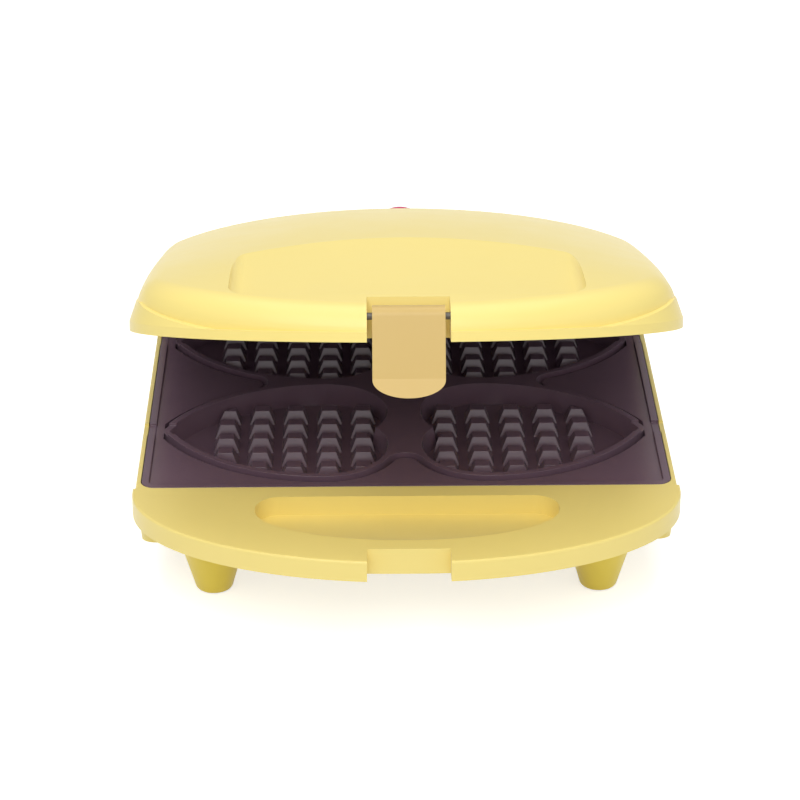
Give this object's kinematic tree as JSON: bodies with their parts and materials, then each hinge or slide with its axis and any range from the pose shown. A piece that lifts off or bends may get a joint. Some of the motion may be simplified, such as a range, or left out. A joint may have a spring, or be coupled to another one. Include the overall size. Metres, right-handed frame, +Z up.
{
  "type": "waffle iron",
  "caption": "Electric waffle iron with a hinged lid, heart-shaped cavities in cast plates, finger dishes in lid and base, and a swinging front latch.",
  "frame": {"origin": "on the ground under the middle of the part's outline at rest, with the lid ajar", "axes": "+Z up, -Y towards the latch and the user, +Y towards the hinge, +X to the user's right"},
  "size_m": [0.24, 0.2941, 0.1552],
  "materials": {
    "housing": "satin, pastel yellow",
    "latch": "satin, a little darker than the housings",
    "plate": "dark non-stick coating, satin",
    "element": "dull tube",
    "sheet_steel": "plated",
    "reflector": "bright sheet",
    "screw": "plated",
    "pin": "ground",
    "fuse": "plated case",
    "terminal": "pale moulding",
    "lead": "bare solid lead",
    "gland": "soft moulding, housing colour",
    "pad": "matt",
    "lens": "clear red",
    "lamp": "clear"
  },
  "bodies": {
    "base": {"base_housing": "housing", "lower_plate": "plate", "lower_element": "element", "lower_element_clips": "sheet_steel", "lower_reflector": "reflector", "lower_plate_screws": "screw", "thermostat": "sheet_steel", "thermal_fuse": "fuse", "terminal_block": "terminal", "base_leads": "lead", "cord_gland": "gland", "cord_clamp": "terminal", "cord_clamp_screws": "screw", "hinge_pins": "pin", "foot_pads": "pad"},
    "lid": {"lid_housing": "housing", "upper_plate": "plate", "upper_element": "element", "upper_element_clips": "sheet_steel", "upper_reflector": "reflector", "upper_plate_screws": "screw", "indicator_lens": "lens", "indicator_lamp": "lamp", "lamp_holder": "terminal", "latch_pin": "pin"},
    "latch": {"latch": "latch"}
  },
  "joints": [
    {"name": "lid_hinge", "type": "hinge", "parent": "base", "child": "lid", "pos_m": [0, 0.1426, 0.05015], "axis": [-1, 0, 0], "range_deg": [-18.85, 76.15]},
    {"name": "latch_hinge", "type": "hinge", "parent": "lid", "child": "latch", "pos_m": [0, -0.12052, 0.15071], "axis": [-1, 0, 0], "range_deg": [-8, 70]}
  ]
}
